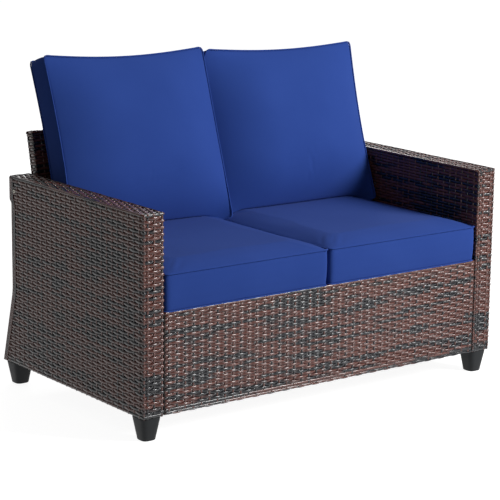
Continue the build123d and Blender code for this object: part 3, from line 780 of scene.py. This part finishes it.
def patch_between(sides):
    """A Coons patch: the two ruled surfaces between facing sides, less the bilinear one."""
    bottom, right, top, left = sides[0], sides[1], sides[2][::-1], sides[3][::-1]
    p = np.linspace(0, 1, len(bottom))[:, None, None]
    q = np.linspace(0, 1, len(right))[None, :, None]
    ruled = (1 - q) * bottom[:, None] + q * top[:, None] + (1 - p) * left[None] + p * right[None]
    near = (1 - p) * (1 - q) * bottom[0] + p * (1 - q) * bottom[-1]
    return ruled - (near + (1 - p) * q * top[0] + p * q * top[-1])


def crown_share(grid_shape, size, reach):
    """The crown's rise, 0 at the seam and 1 inside: for each side, 1 - (1 - d / reach)^2.1."""
    p = np.linspace(0, 1, grid_shape[0])[:, None]
    q = np.linspace(0, 1, grid_shape[1])[None, :]
    rise = np.ones(grid_shape[:2])
    for distance, far in (
        (q * size[1], reach[0]),
        ((1 - p) * size[0], reach[1]),
        ((1 - q) * size[1], reach[2]),
        (p * size[0], reach[3]),
    ):
        rise = rise * (1 - (1 - np.clip(distance / far, 0, 1)) ** 2.1)
    return rise


def ring_of(grid):
    """A grid's edge as a closed ring of indices, anticlockwise from its first corner."""
    return np.concatenate([grid[:-1, 0], grid[-1, :-1], grid[:0:-1, -1], grid[0, :0:-1]])


def boxed_cushion(top, bottom, size, depth, crowns, reaches, cell, tucks=(0, 0)):
    """A cushion's closed form: crowned top and bottom panels and a boxing strip between them.

    The strip's points lie on straight lines between the two seams, pushed out by
    strip_bulge * sin(pi t). The top panel rolls in towards its lower and left sides by
    tuck * (1 - d / tuck_reach)^2 * (1 - t^6), with t from 0 to 1 at its far end. Returns the
    points, with the bottom seam at height 0, the faces and both seams."""
    top_grid, bottom_grid = patch_between(top), patch_between(bottom)
    shape = top_grid.shape[:2]
    top_high = depth + crowns[0] * crown_share(shape, size, reaches[0])
    p = np.linspace(0, 1, shape[0])[:, None]
    q = np.linspace(0, 1, shape[1])[None, :]
    for tuck, distance, along in (
        (tucks[0], q * size[1], np.maximum(2 * p - 1, 0)),
        (tucks[1], p * size[0], 2 * q - 1),
    ):
        top_high = top_high - tuck * np.clip(1 - distance / tuck_reach, 0, 1) ** 2 * (1 - along**6)
    bottom_low = -crowns[1] * crown_share(shape, size, reaches[1])
    top_points = np.concatenate([top_grid, top_high[..., None]], -1).reshape(-1, 3)
    bottom_points = np.concatenate([bottom_grid, bottom_low[..., None]], -1).reshape(-1, 3)
    count = shape[0] * shape[1]
    top_index = np.arange(count).reshape(shape)
    bottom_index = top_index + count
    seams = [ring_of(top_index), ring_of(bottom_index)]
    strip_rows = max(4, round(depth / cell))
    t = np.linspace(0, 1, strip_rows + 1)[1:-1, None, None]
    upper, lower = top_points[seams[0]], bottom_points[seams[1] - count]
    strip = (1 - t) * upper + t * lower
    along = np.roll(upper, -1, 0) - np.roll(upper, 1, 0)
    out = unit(np.stack([along[:, 1], -along[:, 0], np.zeros(len(along))], -1))
    strip = strip + strip_bulge * np.sin(np.pi * t) * out
    strip_index = 2 * count + np.arange(strip.shape[0] * strip.shape[1]).reshape(strip.shape[:2])
    rings = np.concatenate([seams[0][None], strip_index, seams[1][None]])
    beside = np.roll(rings, -1, 1)
    around = [top_index[:-1, :-1], top_index[1:, :-1], top_index[1:, 1:], top_index[:-1, 1:]]
    top_faces = np.stack(around, -1).reshape(-1, 4)
    bottom_faces = np.stack(around[:1] + around[:0:-1], -1).reshape(-1, 4) + count
    strip_faces = np.stack([rings[:-1], rings[1:], beside[1:], beside[:-1]], -1).reshape(-1, 4)
    points = np.concatenate([top_points, bottom_points, strip.reshape(-1, 3)])
    return points, np.concatenate([top_faces, bottom_faces, strip_faces]), seams


def swell(points, faces, seams, pressure, cap):
    """Cloth filled by pressure: both seams stay put, and no point moves more than the cap."""
    mesh = bpy.data.meshes.new("cover_to_fill")
    mesh.from_pydata(points, [], faces)
    cover = bpy.data.objects.new("cover_to_fill", mesh)
    bpy.context.scene.collection.objects.link(cover)
    held = cover.vertex_groups.new(name="seams")
    held.add(np.concatenate(seams).tolist(), 1.0, "REPLACE")
    cloth = cover.modifiers.new("Cloth", "CLOTH")
    cloth.settings.use_pressure = True
    cloth.settings.uniform_pressure_force = pressure
    cloth.settings.vertex_group_mass = "seams"
    cloth.settings.effector_weights.gravity = 0.0
    cloth.settings.quality = 5
    for frame_number in range(1, fill_frames + 1):
        bpy.context.scene.frame_set(frame_number)
    settled = cover.evaluated_get(bpy.context.evaluated_depsgraph_get()).to_mesh()
    moved = np.zeros(len(settled.vertices) * 3)
    settled.vertices.foreach_get("co", moved)
    bpy.data.objects.remove(cover)
    bpy.context.scene.frame_set(1)
    shift = moved.reshape(-1, 3) - points
    far = np.linalg.norm(shift, axis=1, keepdims=True)
    return points + shift * np.minimum(1, cap / np.maximum(far, 1e-9))


def welt(name, line, outward, body):
    """A sewn-in welt: an eight-sided tube along a closed line, a third of it sunk in the seam."""
    tangent = unit(np.roll(line, -1, 0) - np.roll(line, 1, 0))
    across = unit(np.cross(outward, tangent))
    up = np.cross(tangent, across)
    turn = np.linspace(0, 2 * np.pi, 8, endpoint=False)[:, None]
    middle = line + welt_stand_share * welt_radius * up
    ring = np.cos(turn) * across[:, None] + np.sin(turn) * up[:, None]
    points = middle[:, None] + welt_radius * ring
    index = np.arange(len(line) * 8).reshape(len(line), 8)
    ahead, beside = np.roll(index, -1, 0), np.roll(index, -1, 1)
    faces = np.stack([index, beside, np.roll(ahead, -1, 1), ahead], -1).reshape(-1, 4)
    return put_mesh(name, points.reshape(-1, 3), faces, fabric, body)


def sewn_cushion(name, points, faces, seams, body, nodes):
    """A filled cushion's cover with its two welts, standing for its CAD cover and filling."""
    cover = put_mesh(name, points, faces, fabric, body)
    smooth = cover.modifiers.new("Subdivision", "SUBSURF")
    smooth.levels = smooth.render_levels = 1
    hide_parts(*nodes)
    normals = np.zeros(len(points) * 3)
    cover.data.vertices.foreach_get("normal", normals)
    normals = normals.reshape(-1, 3)
    for seam, seam_name in zip(seams, ("upper", "lower")):
        welt(f"{name}_{seam_name}_welt", points[seam], normals[seam], body)


seat_shells = {}
for side_name in ("left", "right"):
    node = f"seat_cover_{side_name}"
    low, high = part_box(node)
    x0, x1 = low.x + seat_gap, high.x - seat_gap
    y0, y1 = low.y + seat_front_gap, high.y - seat_gap
    counts = (round((x1 - x0) / seat_cell), round((y1 - y0) / seat_cell))
    corners = np.array([[x0, y0], [x1, y0], [x1, y1], [x0, y1]])
    shrink = np.array([[1, 1], [-1, 1], [-1, -1], [1, -1]]) * seam_inset
    points, faces, seams = boxed_cushion(
        panel_sides(corners + shrink, seat_radii, seat_bows, counts),
        panel_sides(corners + 2 * shrink, seat_radii, seat_bows, counts),
        (x1 - x0, y1 - y0),
        high.z - low.z - seat_seam_drop,
        (seat_crown, 0.0),
        (seat_top_reach, seat_bottom_reach),
        seat_cell,
    )
    points = points + np.array([0, 0, low.z + seat_lift])
    points = swell(points, faces, seams, seat_pressure, seat_cap)
    points[:, 0] = np.clip(points[:, 0], low.x - seat_side_room, high.x + seat_side_room)
    points[:, 2] = np.maximum(points[:, 2], low.z + seat_deck_gap)
    body = f"seat_cushion_{side_name}"
    sewn_cushion(f"sewn_{node}", points, faces, seams, body, (node, f"seat_foam_{side_name}"))
    seat_shells[side_name] = points, faces

# Back cushions. Polyester fibre in the same sewn cover, fuller in the middle, with the
# corners standing up. Each rests on a seat cushion and leans on the back panel.
pillow_tilt = math.radians(17.5)
pillow_reach = 0.419
pillow_box = 0.072
pillow_front = -0.340
pillow_size = (0.512, 0.49)
pillow_cell = 0.0065
pillow_radii = (0.020, 0.020, 0.022, 0.022)
pillow_crowns = (0.046, 0.052)
pillow_front_reach = (0.20, 0.17, 0.20, 0.18)
pillow_rear_reach = (0.235, 0.25, 0.23, 0.25)
pillow_pressure, pillow_cap = 4.0, 0.009
rest_gap = 0.0006
rest_reach = 0.008
lean_reach = 0.01
look_down_from = 0.1
pillow_up = np.array([0.0, math.sin(pillow_tilt), math.cos(pillow_tilt)])
pillow_out = np.array([0.0, -math.cos(pillow_tilt), math.sin(pillow_tilt)])
rest_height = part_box("seat_cover_left")[1].z

# Corners from the lower left, across and up from the middle of the front seam's foot, and how
# far each side is drawn in. The two cushions are filled a little differently.
pillow_corners = {
    "left": ((-0.257, -0.004), (0.255, -0.004), (0.249, 0.478), (-0.256, 0.486)),
    "right": ((-0.256, -0.004), (0.255, -0.004), (0.258, 0.462), (-0.256, 0.470)),
}
pillow_tucks = {"left": (0.046, 0.0), "right": (0.062, 0.026)}
pillow_bows = {"left": (0.012, 0.001, 0.018, 0.010), "right": (0.0, 0.012, 0.016, 0.002)}

for side_name in ("left", "right"):
    node = f"back_cover_{side_name}"
    low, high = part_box(node)
    origin = np.array([(low.x + high.x) / 2, pillow_front + pillow_reach, rest_height])
    corners = np.array(pillow_corners[side_name])
    counts = [round(length / pillow_cell) for length in pillow_size]
    sides = panel_sides(corners, pillow_radii, pillow_bows[side_name], counts)
    points, faces, seams = boxed_cushion(
        sides,
        sides,
        pillow_size,
        pillow_box,
        pillow_crowns,
        (pillow_front_reach, pillow_rear_reach),
        pillow_cell,
        pillow_tucks[side_name],
    )
    across, up, rise = points[:, :1], points[:, 1:2], points[:, 2:] - pillow_box
    points = origin + across * to_right + up * pillow_up + rise * pillow_out
    points = swell(points, faces, seams, pillow_pressure, pillow_cap)

    # It sits down on its seat cushion, which shapes its underside, and presses on the panel
    seat_points, seat_faces = seat_shells[side_name]
    seat = BVHTree.FromPolygons(seat_points.tolist(), seat_faces.tolist())
    for number in np.flatnonzero(points[:, 2] < rest_height + rest_reach):
        x, y, z = points[number]
        above = Vector((x, y, rest_height + look_down_from))
        hit = seat.ray_cast(above, Vector((0, 0, -1)))[0]
        if hit is not None:
            points[number, 2] = max(z, hit.z + rest_gap)
    ahead = (points - panel_foot) @ panel_out
    below_top = (points - panel_foot) @ panel_up < panel_length + lean_reach
    push = np.where(below_top, np.maximum(rest_gap - ahead, 0), 0)
    points = points + push[:, None] * panel_out
    body = f"back_cushion_{side_name}"
    sewn_cushion(f"sewn_{node}", points, faces, seams, body, (node, f"back_fill_{side_name}"))

# Floor, light and camera. A white sweep in a dim room that is brighter at the rear right, a tall
# softbox at the front right and a small one behind. The photograph's edges place the camera.
floor_half = 14.0
floor_corners = [(-1, -1), (1, -1), (1, 1), (-1, 1)]
floor_mesh = bpy.data.meshes.new("floor")
floor_points = [(x * floor_half, y * floor_half, 0) for x, y in floor_corners]
floor_mesh.from_pydata(floor_points, [], [(0, 1, 2, 3)])
floor = bpy.data.objects.new("floor", floor_mesh)
bpy.context.scene.collection.objects.link(floor)
sweep, tree = new_material("white_sweep")
path = add_node(tree, "ShaderNodeLightPath")
seen = path.outputs["Is Camera Ray"]
for ray in ("Is Glossy Ray", "Is Transmission Ray"):
    rays = {0: seen, 1: path.outputs[ray]}
    seen = add_node(tree, "ShaderNodeMath", links=rays, operation="MAXIMUM").outputs[0]
plain = add_node(tree, "ShaderNodeBsdfDiffuse", {"Color": linear("#a8a8a8")})
floor_glow = 0.92
glow_here = add_node(tree, "ShaderNodeMath", {1: floor_glow}, {0: seen}, operation="MULTIPLY")
strength = {"Strength": glow_here.outputs[0]}
glow = add_node(tree, "ShaderNodeEmission", {"Color": (1, 1, 1, 1)}, strength)
both = add_node(tree, "ShaderNodeAddShader", links={0: plain.outputs[0], 1: glow.outputs[0]})
add_node(tree, "ShaderNodeOutputMaterial", links={"Surface": both.outputs[0]})
floor_mesh.materials.append(sweep)

world = bpy.data.worlds.new("studio")
bpy.context.scene.world = world
world.use_nodes = True
world.node_tree.nodes.clear()
tree = world.node_tree
path = add_node(tree, "ShaderNodeLightPath")
rays = {0: path.outputs["Is Camera Ray"], 1: path.outputs["Is Transmission Ray"]}
seen = add_node(tree, "ShaderNodeMath", links=rays, operation="MAXIMUM")
room_light, sweep_light = 0.17, 0.8
sweep_way = (0.65, 0.76, 0.0)
direction = add_node(tree, "ShaderNodeTexCoord")
toward_sweep = add_node(
    tree,
    "ShaderNodeVectorMath",
    {1: sweep_way},
    {0: direction.outputs["Generated"]},
    operation="DOT_PRODUCT",
)
behind = add_node(
    tree,
    "ShaderNodeMapRange",
    {"From Min": 0.25, "From Max": 0.8, "To Min": room_light, "To Max": sweep_light},
    {"Value": toward_sweep.outputs["Value"]},
)
both = {0: behind.outputs[0], 1: seen.outputs[0]}
brightest = add_node(tree, "ShaderNodeMath", links=both, operation="MAXIMUM")
strength = {"Strength": brightest.outputs[0]}
backdrop = add_node(tree, "ShaderNodeBackground", {"Color": (1, 1, 1, 1)}, strength)
add_node(tree, "ShaderNodeOutputWorld", links={"Surface": backdrop.outputs[0]})

# Each lamp's place, what it faces, its width and height in metres, and its power in watts
lamps = {
    "softbox": ((2.1, -3.0, 2.45), (0.0, -0.3, 0.7), (0.95, 2.0), 190),
    "rear_softbox": ((2.2, 3.7, 2.9), (0.0, 0.0, 0.6), (1.2, 0.9), 32),
}
for name, (spot, target, size, power) in lamps.items():
    lamp = bpy.data.lights.new(name, "AREA")
    lamp.shape, lamp.size, lamp.size_y, lamp.energy = "RECTANGLE", *size, power
    holder = bpy.data.objects.new(name, lamp)
    bpy.context.scene.collection.objects.link(holder)
    holder.location = spot
    holder.rotation_euler = (Vector(target) - Vector(spot)).to_track_quat("-Z", "Y").to_euler()

camera_place = (-3.121, -4.134, 1.502)
camera_yaw = math.radians(37.03)
camera_pitch = math.radians(12.49)
camera_roll = math.radians(0.64)
camera_lens = 140.4
ahead = Vector(
    (
        math.sin(camera_yaw) * math.cos(camera_pitch),
        math.cos(camera_yaw) * math.cos(camera_pitch),
        -math.sin(camera_pitch),
    )
)
level_right = Vector((math.cos(camera_yaw), -math.sin(camera_yaw), 0))
level_up = level_right.cross(ahead)
right = math.cos(camera_roll) * level_right + math.sin(camera_roll) * level_up
up = math.cos(camera_roll) * level_up - math.sin(camera_roll) * level_right
camera_data = bpy.data.cameras.new("camera")
camera_data.sensor_width = 36.0
camera_data.lens = camera_lens
camera = bpy.data.objects.new("camera", camera_data)
bpy.context.scene.collection.objects.link(camera)
turned = Matrix((right, up, -ahead)).transposed().to_4x4()
camera.matrix_world = Matrix.Translation(camera_place) @ turned
bpy.context.scene.camera = camera
bpy.context.scene.view_settings.view_transform = "Standard"
